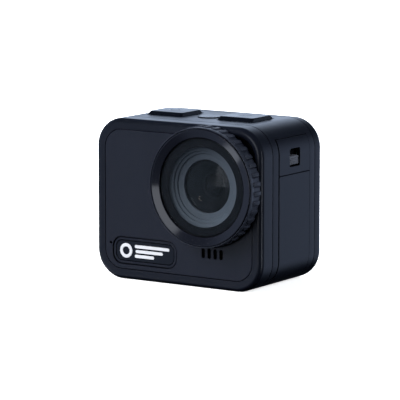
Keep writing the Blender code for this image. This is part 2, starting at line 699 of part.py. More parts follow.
# ---------------------------------------------------------------- battery, boards and sockets
def build_inside():
    x0, x1, d0, d1, z0, z1 = BATTERY
    solid("battery", prism(rounded_rect(x0, x1, z0, z1, BATTERY_CORNER, 3), d0, d1), CELL)
    clear = BATTERY_CLEAR
    wall = TRAY_WALL + clear
    tray = solid("battery_tray", box(x0 - wall, TRAY_END, d0 - wall + EDGE, d1 + wall - EDGE,
                                     z0 - wall, z1 + wall), CHIP)
    combine(tray, "bay", [box(x0 - clear, TRAY_END + 1, d0 - clear + EDGE, d1 + clear - EDGE,
                              z0 - clear, z1 + clear)])
    solid("battery_contacts", box(*CONTACTS), BRASS)

    screw_points = [(x, z) for x in (-SCREW_X, SCREW_X) for z in SCREW_Z]
    front, back = MAIN_BOARD_DEPTHS
    board = solid("main_board", prism(rounded_rect(*MAIN_BOARD, MAIN_BOARD_CORNER, 2), front, back), BOARD)
    holes = [prism(circle(x, z, SCREW_CLEAR_R, 12), front - 1, back + 1) for x, z in screw_points]
    combine(board, "holes", holes)
    solid("processor", box(*PROCESSOR), CHIP)
    solid("heat_spreader", box(*HEAT_SPREADER), ALUMINIUM)
    for number, (x, z) in enumerate(screw_points, 1):
        solid("board_screw_%d" % number, turned(SCREW_PROFILE, x, z, 12, closed=False), STEEL)

    d0, d1, z0, z1 = USB_SHELL
    shell = rounded_rect(d0, d1, z0, z1, USB_CORNER, 4)
    mouth = rounded_rect(d0 + USB_WALL, d1 - USB_WALL, z0 + USB_WALL, z1 - USB_WALL, USB_CORNER - USB_WALL, 4)
    usb = solid("usb_port", prism(shell, *USB_X, "side"), STEEL)
    combine(usb, "mouth", [prism(mouth, USB_MOUTH_START, USB_X[1] + 1, "side")])
    socket = solid("card_socket", box(*CARD_SOCKET), STEEL)
    combine(socket, "slot", [box(*CARD_SLOT)])
    card = solid("memory_card", box(*MEMORY_CARD), CHIP)
    move_origin(card, *CARD_ORIGIN)
    solid("speaker", box(*SPEAKER), CHIP)

    outer = circle(TRIPOD_X, TRIPOD_DEPTH, TRIPOD_OUTER_R, 32)
    bore = circle(TRIPOD_X, TRIPOD_DEPTH, TRIPOD_BORE_R, 32)
    bushing = [(outer, 0), (outer, TRIPOD_HEIGHT), (bore, TRIPOD_HEIGHT), (bore, 0)]
    solid("tripod_bushing", loft(bushing, "top", closed=True), BRASS)


build_front()
build_middle()
build_rear()
build_lens()
build_top()
build_door()
build_latch()
build_inside()
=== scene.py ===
"""Looks of the action camera: fine surfaces, plastics, glass, studio light and camera."""

import json
import math

import bmesh
import bpy
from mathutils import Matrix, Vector


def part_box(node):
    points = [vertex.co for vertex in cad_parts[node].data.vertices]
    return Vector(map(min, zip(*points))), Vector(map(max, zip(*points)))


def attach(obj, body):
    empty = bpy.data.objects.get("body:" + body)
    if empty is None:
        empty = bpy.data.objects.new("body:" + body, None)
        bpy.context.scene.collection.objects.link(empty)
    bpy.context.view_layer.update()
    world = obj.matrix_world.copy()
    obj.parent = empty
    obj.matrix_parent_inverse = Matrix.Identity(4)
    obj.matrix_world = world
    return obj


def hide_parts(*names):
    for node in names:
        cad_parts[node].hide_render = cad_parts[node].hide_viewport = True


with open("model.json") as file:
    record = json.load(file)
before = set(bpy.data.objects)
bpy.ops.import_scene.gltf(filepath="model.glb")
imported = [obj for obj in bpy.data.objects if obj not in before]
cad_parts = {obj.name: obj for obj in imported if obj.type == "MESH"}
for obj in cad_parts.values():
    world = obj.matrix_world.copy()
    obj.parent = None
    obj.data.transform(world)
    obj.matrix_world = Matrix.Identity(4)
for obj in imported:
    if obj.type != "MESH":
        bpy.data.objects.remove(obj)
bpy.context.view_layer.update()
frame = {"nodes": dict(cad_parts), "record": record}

MM = 0.001
BODY = "camera_body"

# ---------------------------------------------------------------- places read from the frame, in millimetres
SEAM_HALF = 0.15
SEAL_LEAD = 1.5
front_low, front_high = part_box("front_housing")
_, rear_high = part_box("rear_housing")
HALF = front_high.x / MM
HEIGHT = front_high.z / MM
FACE_Y = front_low.y / MM
BACK = rear_high.y / MM - FACE_Y
FRONT_SEAM = front_high.y / MM - FACE_Y + SEAM_HALF
CORNER = 9.3


def middle_of(node):
    """Centre of a node's box as (x, depth, z) in millimetres."""
    low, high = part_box(node)
    centre = (low + high) / (2 * MM)
    return centre.x, centre.y - FACE_Y, centre.z


def extent_of(node):
    """A node's box as x0, x1, depth0, depth1, z0, z1 in millimetres."""
    low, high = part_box(node)
    return (low.x / MM, high.x / MM, low.y / MM - FACE_Y, high.y / MM - FACE_Y,
            low.z / MM, high.z / MM)


LENS_X, _, LENS_Z = middle_of("grip_ring")
COVER_FRONT = extent_of("ring_trim")[2]
REAR_SEAM = extent_of("rear_seal")[2] + SEAL_LEAD

RIM_ROUND = 1.6
PANEL_MARGIN = 3.35
PANEL_CORNER = 6.2
MOAT_R = 19.3
WELL_R = 17.9
SHELL_WALL = 1.5
OVERSHOOT = 1
STEPS = 20
BISECTIONS = 30
MOAT_STEPS = 120
MOAT_LEAST_TURN = 90


# ---------------------------------------------------------------- outlines
def arc(cx, cy, radius, start, end, steps):
    points = []
    for i in range(steps + 1):
        angle = math.radians(start + (end - start) * i / steps)
        points.append((cx + radius * math.cos(angle), cy + radius * math.sin(angle)))
    return points


def circle(cx, cy, radius, count=128):
    return arc(cx, cy, radius, 0.0, 360.0 - 360.0 / count, count - 1)


def rounded_rect(x0, x1, z0, z1, radius, steps=STEPS):
    return (arc(x1 - radius, z0 + radius, radius, -90, 0, steps)
            + arc(x1 - radius, z1 - radius, radius, 0, 90, steps)
            + arc(x0 + radius, z1 - radius, radius, 90, 180, steps)
            + arc(x0 + radius, z0 + radius, radius, 180, 270, steps))


def body_outline(inset):
    return rounded_rect(-HALF + inset, HALF - inset, inset, HEIGHT - inset, CORNER - inset)


def panel_outline(gap):
    return rounded_rect(-HALF + PANEL_MARGIN + gap, HALF - PANEL_MARGIN - gap,
                        PANEL_MARGIN + gap, HEIGHT - PANEL_MARGIN - gap, PANEL_CORNER - gap)


def stadium(cx, z0, z1, width, steps=8):
    radius = width / 2
    return arc(cx, z1 - radius, radius, 0, 180, steps) + arc(cx, z0 + radius, radius, 180, 360, steps)


def dense(outline, step=0.4):
    """The outline with extra points, so that none are further apart than step."""
    points = []
    for (ax, ay), (bx, by) in zip(outline, outline[1:] + outline[:1]):
        count = max(1, int(math.hypot(bx - ax, by - ay) / step))
        for i in range(count):
            points.append((ax + (bx - ax) * i / count, ay + (by - ay) * i / count))
    return points


def lens_distance(point):
    return math.hypot(point[0] - LENS_X, point[1] - LENS_Z)


def lens_angle(point):
    return math.degrees(math.atan2(point[1] - LENS_Z, point[0] - LENS_X))


def in_lens_corner(point, radius):
    """Inside the moat, or in the quarter above and right of the lens."""
    return lens_distance(point) < radius or (point[0] > LENS_X and point[1] > LENS_Z)


def kept_run(outline, radius):
    """The part of an outline outside the lens corner, from its top end to its right end."""
    points = dense(outline)
    flags = [not in_lens_corner(p, radius) for p in points]
    start = next(i for i in range(len(points)) if flags[i] and not flags[i - 1])
    run = []
    for i in range(len(points)):
        index = (start + i) % len(points)
        if not flags[index]:
            break
        run.append(points[index])
    ends = []
    for end, inner in ((run[0], points[start - 1]), (run[-1], points[(start + len(run)) % len(points)])):
        low, high = 0.0, 1.0
        for _ in range(BISECTIONS):
            middle = (low + high) / 2
            point = (end[0] + (inner[0] - end[0]) * middle, end[1] + (inner[1] - end[1]) * middle)
            if lens_distance(point) < radius:
                high = middle
            else:
                low = middle
        ends.append((end[0] + (inner[0] - end[0]) * low, end[1] + (inner[1] - end[1]) * low))
    return [ends[0]] + run + [ends[1]]


def moat_arc(start, end):
    """Arc of the moat round the lens from one point to another, through the lower left."""
    a = lens_angle(start)
    b = lens_angle(end)
    while b > a:
        b -= 360
    if a - b < MOAT_LEAST_TURN:
        b -= 360
    return arc(LENS_X, LENS_Z, MOAT_R, a, b, MOAT_STEPS)[1:-1]


# ---------------------------------------------------------------- mesh building
WELD = 0.000002
CRISP = 40
AXIS_RADIUS = 0.01
PLATE_BEVEL_STEPS = 3


def place(plane, u, v, w):
    if plane == "front":
        return Vector((u, w + FACE_Y, v)) * MM
    if plane == "top":
        return Vector((u, v + FACE_Y, w)) * MM
    return Vector((w, u + FACE_Y, v)) * MM


def signed_volume(vertices, faces):
    total = 0.0
    for face in faces:
        a = vertices[face[0]]
        for second, third in zip(face[1:-1], face[2:]):
            total += a.dot(vertices[second].cross(vertices[third]))
    return total


def make_object(name, vertices, faces, sharp):
    if signed_volume(vertices, faces) < 0:
        faces = [tuple(reversed(face)) for face in faces]
    mesh = bpy.data.meshes.new(name)
    mesh.from_pydata([tuple(v) for v in vertices], [], faces)
    mesh.validate()
    mesh.shade_smooth()
    mesh.set_sharp_from_angle(angle=math.radians(sharp))
    obj = bpy.data.objects.new(name, mesh)
    bpy.context.scene.collection.objects.link(obj)
    return obj


def loft(name, rings, plane="front", closed=False, sharp=CRISP):
    """A body through rings of (outline, distance); open ones are capped."""
    count = len(rings[0][0])
    vertices = [place(plane, u, v, w) for outline, w in rings for u, v in outline]
    faces = []
    spans = len(rings) if closed else len(rings) - 1
    for ring in range(spans):
        low = ring * count
        high = ((ring + 1) % len(rings)) * count
        for i in range(count):
            j = (i + 1) % count
            faces.append((low + i, low + j, high + j, high + i))
    if not closed:
        faces.append(tuple(reversed(range(count))))
        faces.append(tuple(range((len(rings) - 1) * count, len(rings) * count)))
    return make_object(name, vertices, faces, sharp)


def turned(name, profile, closed=True, count=192, sharp=CRISP):
    """A body turned about the lens axis from (radius, depth) points."""
    rings = [(circle(LENS_X, LENS_Z, max(radius, AXIS_RADIUS), count), depth) for radius, depth in profile]
    return loft(name, rings, "front", closed, sharp)


def baked(obj):
    """Apply the object's modifiers, or turn its curve into a mesh."""
    graph = bpy.context.evaluated_depsgraph_get()
    mesh = bpy.data.meshes.new_from_object(obj.evaluated_get(graph))
    if obj.type == "MESH":
        obj.modifiers.clear()
        obj.data = mesh
        return obj
    name = obj.name
    bpy.data.objects.remove(obj)
    mesh.name = name
    result = bpy.data.objects.new(name, mesh)
    bpy.context.scene.collection.objects.link(result)
    return result


def plate(name, outlines, start, end, bevel, plane="front"):
    """A flat piece with round edges: the first outline is its rim, the others are holes."""
    curve = bpy.data.curves.new(name, "CURVE")
    curve.dimensions = "2D"
    curve.fill_mode = "BOTH"
    curve.extrude = ((end - start) / 2 - bevel) * MM
    curve.bevel_depth = bevel * MM
    curve.bevel_resolution = PLATE_BEVEL_STEPS
    curve.offset = -bevel * MM
    for outline in outlines:
        spline = curve.splines.new("POLY")
        spline.points.add(len(outline) - 1)
        for point, (u, v) in zip(spline.points, outline):
            point.co = (u * MM, v * MM, 0, 1)
        spline.use_cyclic_u = True
    obj = bpy.data.objects.new(name, curve)
    bpy.context.scene.collection.objects.link(obj)
    obj = baked(obj)
    middle = (start + end) / 2
    mesh = obj.data
    for vertex in mesh.vertices:
        u, v, w = vertex.co / MM
        if plane == "front":
            vertex.co = place(plane, u, v, middle - w)
        else:
            vertex.co = place(plane, u, v, middle + w)
    clean(mesh)
    return obj


def clean(mesh):
    """Weld doubled points and set smooth shading with crisp edges."""
    work = bmesh.new()
    work.from_mesh(mesh)
    bmesh.ops.remove_doubles(work, verts=work.verts, dist=WELD)
    bmesh.ops.recalc_face_normals(work, faces=work.faces)
    work.to_mesh(mesh)
    work.free()
    mesh.shade_smooth()
    mesh.set_sharp_from_angle(angle=math.radians(CRISP))


def cut(obj, tools):
    """Cut tool bodies out of obj and keep the result."""
    for tool in tools:
        modifier = obj.modifiers.new("cut", "BOOLEAN")
        modifier.operation = "DIFFERENCE"
        modifier.solver = "EXACT"
        modifier.object = tool
    baked(obj)
    for tool in tools:
        bpy.data.objects.remove(tool)


def round_edges(obj, width, segments, angle):
    """Round the edges that are sharper than an angle in degrees."""
    clean(obj.data)
    modifier = obj.modifiers.new("round", "BEVEL")
    modifier.width = width * MM
    modifier.segments = segments
    modifier.limit_method = "ANGLE"
    modifier.angle_limit = math.radians(angle)
    modifier.use_clamp_overlap = True
    baked(obj)
    clean(obj.data)


def block(name, x0, x1, d0, d1, z0, z1):
    return prism(name, [(x0, z0), (x1, z0), (x1, z1), (x0, z1)], d0, d1)


def prism(name, outline, start, end, plane="front"):
    return loft(name, [(outline, start), (outline, end)], plane)


# ---------------------------------------------------------------- materials
NOISE_LOW, NOISE_HIGH = 0.3, 0.7
PATCH_SCALE, PATCH_DETAIL = 90.0, 4.0
FINE_DETAIL, FINE_ROUGHNESS = 2.0, 0.7
PLASTIC_BUMP = 0.35
BRUSH_SCALE, BRUSH_DETAIL, BRUSH_STRETCH = 2500.0, 3, (1, 1, 12)
BRUSH_DARKER, BRUSH_SMOOTHER, BRUSH_ROUGHER = 0.8, 0.08, 0.1
METAL_BUMP, METAL_BUMP_DEPTH = 0.2, 0.01
SMUDGE_SCALE, SMUDGE_DETAIL, SMUDGE_LIGHTER = 260.0, 5.0, 1.1
GLASS_SMOOTH, GLASS_SMUDGED = 0.02, 0.05


def node_tree(name):
    material = bpy.data.materials.new(name)
    material.use_nodes = True
    nodes = material.node_tree.nodes
    return material, nodes, material.node_tree.links, nodes["Principled BSDF"]


def noise(nodes, links, scale, detail=3.0, roughness=0.55):
    coordinates = nodes.get("Texture Coordinate") or nodes.new("ShaderNodeTexCoord")
    texture = nodes.new("ShaderNodeTexNoise")
    texture.inputs["Scale"].default_value = scale
    texture.inputs["Detail"].default_value = detail
    texture.inputs["Roughness"].default_value = roughness
    links.new(coordinates.outputs["Object"], texture.inputs["Vector"])
    return texture


def ranged(nodes, links, source, low, high):
    """The middle of a noise's range mapped to low..high."""
    mapping = nodes.new("ShaderNodeMapRange")
    mapping.inputs["From Min"].default_value = NOISE_LOW
    mapping.inputs["From Max"].default_value = NOISE_HIGH
    mapping.inputs["To Min"].default_value = low
    mapping.inputs["To Max"].default_value = high
    links.new(source, mapping.inputs["Value"])
    return mapping.outputs["Result"]


def two_colours(nodes, links, source, first, second):
    ramp = nodes.new("ShaderNodeValToRGB")
    ramp.color_ramp.elements[0].position = NOISE_LOW
    ramp.color_ramp.elements[0].color = (*first, 1)
    ramp.color_ramp.elements[1].position = NOISE_HIGH
    ramp.color_ramp.elements[1].color = (*second, 1)
    links.new(source, ramp.inputs["Fac"])
    return ramp.outputs["Color"]


def moulded(name, colour, roughness, grain=5200.0, depth=0.012, spread=0.05, specular=0.5, worn=0.10):
    """Moulded plastic: fine grain in the surface, soft patches of gloss and a trace of tone change."""
    material, nodes, links, shader = node_tree(name)
    patches = noise(nodes, links, PATCH_SCALE, PATCH_DETAIL)
    fine = noise(nodes, links, grain, FINE_DETAIL, FINE_ROUGHNESS)
    lighter = tuple(c * (1 + worn) for c in colour)
    darker = tuple(c * (1 - worn) for c in colour)
    links.new(two_colours(nodes, links, patches.outputs["Fac"], darker, lighter), shader.inputs["Base Color"])
    links.new(ranged(nodes, links, patches.outputs["Fac"], roughness - spread, roughness + spread),
              shader.inputs["Roughness"])
    bump = nodes.new("ShaderNodeBump")
    bump.inputs["Strength"].default_value = PLASTIC_BUMP
    bump.inputs["Distance"].default_value = depth * MM
    links.new(fine.outputs["Fac"], bump.inputs["Height"])
    links.new(bump.outputs["Normal"], shader.inputs["Normal"])
    shader.inputs["Specular IOR Level"].default_value = specular
    return material


def metal(name, colour, roughness):
    """Satin metal with a fine drawn grain."""
    material, nodes, links, shader = node_tree(name)
    coordinates = nodes.new("ShaderNodeTexCoord")
    mapping = nodes.new("ShaderNodeMapping")
    mapping.inputs["Scale"].default_value = BRUSH_STRETCH
    texture = nodes.new("ShaderNodeTexNoise")
    texture.inputs["Scale"].default_value = BRUSH_SCALE
    texture.inputs["Detail"].default_value = BRUSH_DETAIL
    links.new(coordinates.outputs["Object"], mapping.inputs["Vector"])
    links.new(mapping.outputs["Vector"], texture.inputs["Vector"])
    darker = tuple(c * BRUSH_DARKER for c in colour)
    links.new(two_colours(nodes, links, texture.outputs["Fac"], darker, colour), shader.inputs["Base Color"])
    low, high = roughness - BRUSH_SMOOTHER, roughness + BRUSH_ROUGHER
    links.new(ranged(nodes, links, texture.outputs["Fac"], low, high), shader.inputs["Roughness"])
    bump = nodes.new("ShaderNodeBump")
    bump.inputs["Strength"].default_value = METAL_BUMP
    bump.inputs["Distance"].default_value = METAL_BUMP_DEPTH * MM
    links.new(texture.outputs["Fac"], bump.inputs["Height"])
    links.new(bump.outputs["Normal"], shader.inputs["Normal"])
    shader.inputs["Metallic"].default_value = 1.0
    return material


def clear_glass(name, colour, alpha):
    """Coated glass with faint smudges."""
    material, nodes, links, shader = node_tree(name)
    smudge = noise(nodes, links, SMUDGE_SCALE, SMUDGE_DETAIL)
    lighter = tuple(c * SMUDGE_LIGHTER for c in colour)
    links.new(two_colours(nodes, links, smudge.outputs["Fac"], colour, lighter), shader.inputs["Base Color"])
    links.new(ranged(nodes, links, smudge.outputs["Fac"], GLASS_SMOOTH, GLASS_SMUDGED),
              shader.inputs["Roughness"])
    shader.inputs["Alpha"].default_value = alpha
    return material


HOUSING = moulded("housing_plastic", (0.0042, 0.0054, 0.0100), 0.33)
PANEL = moulded("panel_plastic", (0.0082, 0.0100, 0.0172), 0.44, depth=0.016)
GRIP = moulded("grip_plastic", (0.0240, 0.0280, 0.0400), 0.42)
BUTTON = moulded("button_plastic", (0.0016, 0.0022, 0.0046), 0.28)
TRIM = moulded("ring_gloss", (0.0080, 0.0092, 0.0145), 0.10, depth=0.003, spread=0.02)
GLOSS = moulded("gloss_black", (0.004, 0.005, 0.008), 0.12, depth=0.002, spread=0.03)
MASK = moulded("mask_black", (0.0016, 0.0022, 0.0036), 0.40, depth=0.002, specular=0.2)
# Dark matt black: painted shade on gap walls, recess floors and dark sheets behind parts, and also the real
# print of the button marks.
SHADE_AND_PRINT_BLACK = moulded("shade_and_print_black", (0.0015, 0.0015, 0.002), 0.80)
EMBLEM = moulded("emblem_white", (0.80, 0.81, 0.83), 0.38, depth=0.004, worn=0.02)
BAFFLE = moulded("baffle_grey", (0.066, 0.083, 0.104), 0.50, depth=0.006)
RUBBER = moulded("seal_rubber", (0.018, 0.018, 0.020), 0.75, grain=3000)
BOARD = moulded("board_green", (0.010, 0.085, 0.045), 0.35, grain=1800)
CHIP = moulded("chip_black", (0.012, 0.012, 0.014), 0.50)
CELL = moulded("battery_wrap", (0.030, 0.034, 0.042), 0.38, grain=2400)
SLIDER = moulded("slider_plastic", (0.085, 0.090, 0.105), 0.45)
INNER = moulded("inner_lens_coating", (0.012, 0.010, 0.008), 0.10, depth=0.0005, spread=0.02, specular=1.0)
COVER = clear_glass("cover_glass", (0.02, 0.025, 0.03), 0.10)
LENS = clear_glass("lens_glass", (0.006, 0.010, 0.012), 0.34)
STEEL = metal("brushed_steel", (0.62, 0.63, 0.66), 0.30)
BRASS = metal("brass", (0.76, 0.58, 0.30), 0.30)
ALUMINIUM = metal("aluminium", (0.72, 0.73, 0.75), 0.35)

# The CAD nodes that stay visible, or lie inside, take a finish by their slot.
SLOT_FINISH = {
    "housing_black": HOUSING, "panel_black": PANEL, "grip_black": GRIP, "ring_gloss": TRIM,
    "gloss_black": GLOSS, "emblem_white": EMBLEM, "baffle_grey": BAFFLE, "glass": COVER,
    "lens_glass": LENS, "seal_rubber": RUBBER, "steel": STEEL, "brass": BRASS,
    "aluminium": ALUMINIUM, "board_green": BOARD, "chip_black": CHIP, "battery_wrap": CELL,
}
for part in frame["record"]["subparts"]:
    mesh = frame["nodes"][part["node"]].data
    mesh.materials.clear()
    mesh.materials.append(SLOT_FINISH[part["material_slot"]])


def shade_gap(obj, inside):
    """Paint shade on the faces that inside(normal, x, depth, z) picks: walls in narrow gaps and recesses take
    the dark matt material, a painted shade.
    """
    obj.data.materials.append(SHADE_AND_PRINT_BLACK)
    dark = len(obj.data.materials) - 1
    for face in obj.data.polygons:
        centre = face.center / MM
        if inside(face.normal, centre.x, centre.y - FACE_Y, centre.z):
            face.material_index = dark


def finish(obj, material, body=BODY, replaced=()):
    weighted = obj.modifiers.new("weighted", "WEIGHTED_NORMAL")
    weighted.mode = "FACE_AREA"
    weighted.weight = 100
    weighted.keep_sharp = True
    baked(obj)
    obj.data.materials.clear()
    obj.data.materials.append(material)
    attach(obj, body)
    if replaced:
        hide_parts(*replaced)


# ---------------------------------------------------------------- front shell
HOLLOW_INSET, HOLLOW_ROLL, HOLLOW_DEPTH, HOLLOW_STEPS = 1.62, 1.9, 2.6, 12
RIM_STEPS = 16
# Inset and distance in front of the seam, for the rounded rear edge of the front shell.
FRONT_EDGE = ((0.0, 0.26), (0.03, 0.17), (0.10, 0.12), (0.20, 0.11), (1.7, 0.11))
FRONT_LIP, FRONT_LIP_DEPTH = 1.7, 3.6
POCKET_DEPTH, WELL_DEPTH = 1.2, 5
FRONT_ROUND, FRONT_ROUND_ANGLE = 0.16, 40
# Depth range, edge margin and corner depth of the painted shade in the pocket behind the panel.
POCKET_SHADE, POCKET_SHADE_EDGE, CORNER_SHADE = (0.25, 3.5), 0.05, 2.4


def corner_tool():
    """Cutter for the corner behind the lens cover: a hollow whose outer wall rolls inwards."""
    def ring(inset, depth):
        right, top = HALF - inset, HEIGHT - inset
        radius = CORNER - inset
        outline = [(LENS_X, LENS_Z), (right, LENS_Z)]
        outline += arc(right - radius, top - radius, radius, 0, 90, 32)
        outline.append((LENS_X, top))
        return outline, depth

    rings = [ring(HOLLOW_INSET, -OVERSHOOT), ring(HOLLOW_INSET, 0)]
    for step in range(1, HOLLOW_STEPS + 1):
        angle = math.radians(90 * step / HOLLOW_STEPS)
        rings.append(ring(HOLLOW_INSET + HOLLOW_ROLL * math.sin(angle), HOLLOW_DEPTH * (1 - math.cos(angle))))
    return loft("corner_tool", rings)


def build_front_shell():
    rings = []
    for step in range(RIM_STEPS + 1):
        angle = math.radians(90 * step / RIM_STEPS)
        rings.append((body_outline(RIM_ROUND * (1 - math.sin(angle))), RIM_ROUND * (1 - math.cos(angle))))
    for inset, back in FRONT_EDGE:
        rings.append((body_outline(inset), FRONT_SEAM - back))
    rings.append((body_outline(FRONT_LIP), FRONT_LIP_DEPTH))
    shell = loft("front_shell", rings, sharp=50)
    cut(shell, [prism("panel_tool", panel_outline(0), -OVERSHOOT, POCKET_DEPTH), corner_tool()])
    cut(shell, [prism("well_tool", circle(LENS_X, LENS_Z, WELL_R), -OVERSHOOT, WELL_DEPTH)])
    round_edges(shell, FRONT_ROUND, 3, FRONT_ROUND_ANGLE)
    finish(shell, HOUSING, replaced=["front_housing"])
    low, high = PANEL_MARGIN - POCKET_SHADE_EDGE, HEIGHT - PANEL_MARGIN + POCKET_SHADE_EDGE

    # Painted shade: the walls of the pocket behind the panel, except the shallow hollow beside the lens, are
    # painted dark.
    def pocket(normal, x, depth, z):
        beside_lens = x > LENS_X and z > LENS_Z and depth < CORNER_SHADE
        shaded = POCKET_SHADE[0] < depth < POCKET_SHADE[1]
        return shaded and abs(x) < HALF - low and low < z < high and not beside_lens

    shade_gap(shell, pocket)


# ---------------------------------------------------------------- panel and badge
PANEL_GAP, PANEL_DEPTHS, PANEL_ROUND, PANEL_SHADE = 0.16, (0.02, 0.95), 0.16, 0.22
BADGE_GAP, BADGE_CORNER = 0.2, 3.4
BADGE_STEP, BADGE_STEP_DEPTHS, BADGE_STEP_ROUND, BADGE_STEP_SHADE = (0.28, 1.05), (0.30, 0.95), 0.14, 0.50
BADGE_INLAY, BADGE_INLAY_DEPTHS, BADGE_INLAY_ROUND = 1.25, (0.42, 0.95), 0.10
BADGE_FLOOR, BADGE_FLOOR_DEPTHS = 0.02, (0.97, 1.15)
MIC_SLOTS, MIC_SLOT_WIDTH, MIC_SIDE, MIC_LOW, MIC_HIGH = 4, 1.25, 0.9, 0.4, 0.45
PINHOLE_R = 0.42
EMBLEM_START, EMBLEM_DEPTHS, EMBLEM_ROUND = 5.0, (0.30, 0.44), 0.03
EMBLEM_RING = ((2.35, 64), (1.30, 48))
# Height, start and length of each line of the emblem, from the centre of its ring.
EMBLEM_LINES = ((1.55, 3.3, 13.2), (0.0, 3.6, 10.4), (-1.55, 3.3, 7.4))
EMBLEM_LINE_HALF, EMBLEM_LINE_CORNER = 0.50, 0.49


def build_panel():
    badge = extent_of("badge_plate")
    bx0, bx1 = badge[0] - BADGE_GAP, badge[1] + BADGE_GAP
    bz0, bz1 = badge[4] - BADGE_GAP, badge[5] + BADGE_GAP

    def lozenge(inset):
        return rounded_rect(bx0 + inset, bx1 - inset, bz0 + inset, bz1 - inset, BADGE_CORNER - inset)

    run = kept_run(panel_outline(PANEL_GAP), MOAT_R)
    outline = run + moat_arc(run[-1], run[0])
    holes = [lozenge(0)]
    mic_x0, mic_x1, _, _, mic_z0, mic_z1 = extent_of("microphone_mesh")
    pitch = (mic_x1 - mic_x0 - 2 * MIC_SIDE) / (MIC_SLOTS - 1)
    for i in range(MIC_SLOTS):
        slot_x = mic_x0 + MIC_SIDE + i * pitch
        holes.append(stadium(slot_x, mic_z0 + MIC_LOW, mic_z1 - MIC_HIGH, MIC_SLOT_WIDTH))
    led_x, _, led_z = middle_of("front_light")
    holes.append(circle(led_x, led_z, PINHOLE_R, 24))
    panel = plate("front_plate", [outline] + holes, *PANEL_DEPTHS, PANEL_ROUND)
    finish(panel, PANEL, replaced=["front_panel"])
    # Painted shade: the panel's faces deeper than PANEL_SHADE, its hole walls and back, are painted dark.
    shade_gap(panel, lambda normal, x, depth, z: depth > PANEL_SHADE)

    ring = plate("badge_step", [lozenge(inset) for inset in BADGE_STEP], *BADGE_STEP_DEPTHS, BADGE_STEP_ROUND)
    finish(ring, PANEL)
    # Painted shade on the badge step's deeper faces.
    shade_gap(ring, lambda normal, x, depth, z: depth > BADGE_STEP_SHADE)
    inner = plate("badge_inlay", [lozenge(BADGE_INLAY)], *BADGE_INLAY_DEPTHS, BADGE_INLAY_ROUND)
    finish(inner, GLOSS, replaced=["badge_plate"])
    # A dark sheet under the badge: painted shade in its recess.
    under = prism("badge_floor", lozenge(BADGE_FLOOR), *BADGE_FLOOR_DEPTHS)
    finish(under, SHADE_AND_PRINT_BLACK)
    build_emblem(bx0, (bz0 + bz1) / 2)


def build_emblem(x0, z):
    """A generic mark: a ring with three lines."""
    cx = x0 + EMBLEM_START
    outlines = [circle(cx, z, radius, count) for radius, count in EMBLEM_RING]
    ring = plate("emblem_ring", outlines, *EMBLEM_DEPTHS, EMBLEM_ROUND)
    finish(ring, EMBLEM, replaced=["badge_emblem"])
    for number, (level, start, length) in enumerate(EMBLEM_LINES, 1):
        low, high = z + level - EMBLEM_LINE_HALF, z + level + EMBLEM_LINE_HALF
        bar = rounded_rect(cx + start, cx + start + length, low, high, EMBLEM_LINE_CORNER, 6)
        line = plate("emblem_line_%d" % number, [bar], *EMBLEM_DEPTHS, EMBLEM_ROUND)
        finish(line, EMBLEM)


# ---------------------------------------------------------------- middle and rear shells
MIDDLE_EDGE, MIDDLE_FRONT_GAP, REAR_GAP = 0.10, 0.11, 0.07
MIDDLE_ROUND, MIDDLE_SHADE = 0.11, 0.2
DOOR_CUT_X, DOOR_CUT_FRONT, DOOR_CUT_BACK, DOOR_CUT_TOP = 1.1, 0.48, 0.10, 0.20
KNUCKLE_X, KNUCKLE_DEPTHS, KNUCKLE_TOP = (1.3, 1.6), (13.0, 24.0), 2.2
PIN_HOLE_R = 0.5
BUTTON_CUT_INSET, BUTTON_CUT_CORNER, TOP_CUT = 0.55, 0.95, 3
WINDOW_CUT_R, SOCKET_CUT_R, SOCKET_CUT = 3.92, 4.75, 3
SPEAKER_SLOTS, SPEAKER_START, SPEAKER_PITCH, SPEAKER_WIDTH = 5, 14.0, 2.2, 0.9
SPEAKER_Z, SPEAKER_CUT = (16.5, 23.5), 3
REAR_EDGE, REAR_ROUND, REAR_ROUND_STEPS, REAR_PLATE = 0.09, 2.5, 14, 1.6
GLASS_GAP, GLASS_CORNER = 0.12, 3.9
# Growth of the window's outline and depth below the back, from its rounded edge to its ledge.
GLASS_STEPS = ((0.12, 0.0), (0.03, 0.03), (0, 0.12), (0, 0.95), (-2.0, 0.95), (-2.0, REAR_PLATE))
SCREEN_CORNER, SCREEN_DEPTHS, SCREEN_ROUND = 3.8, (0.8, 0.02), 0.12
FACING = 0.9


def edge_steps(edge):
    """Inset and distance of each step from the inside of a shell to its rounded edge."""
    return ((SHELL_WALL, 0.0), (edge * 1.6, 0.0), (edge * 0.6, edge * 0.25), (0.0, edge))


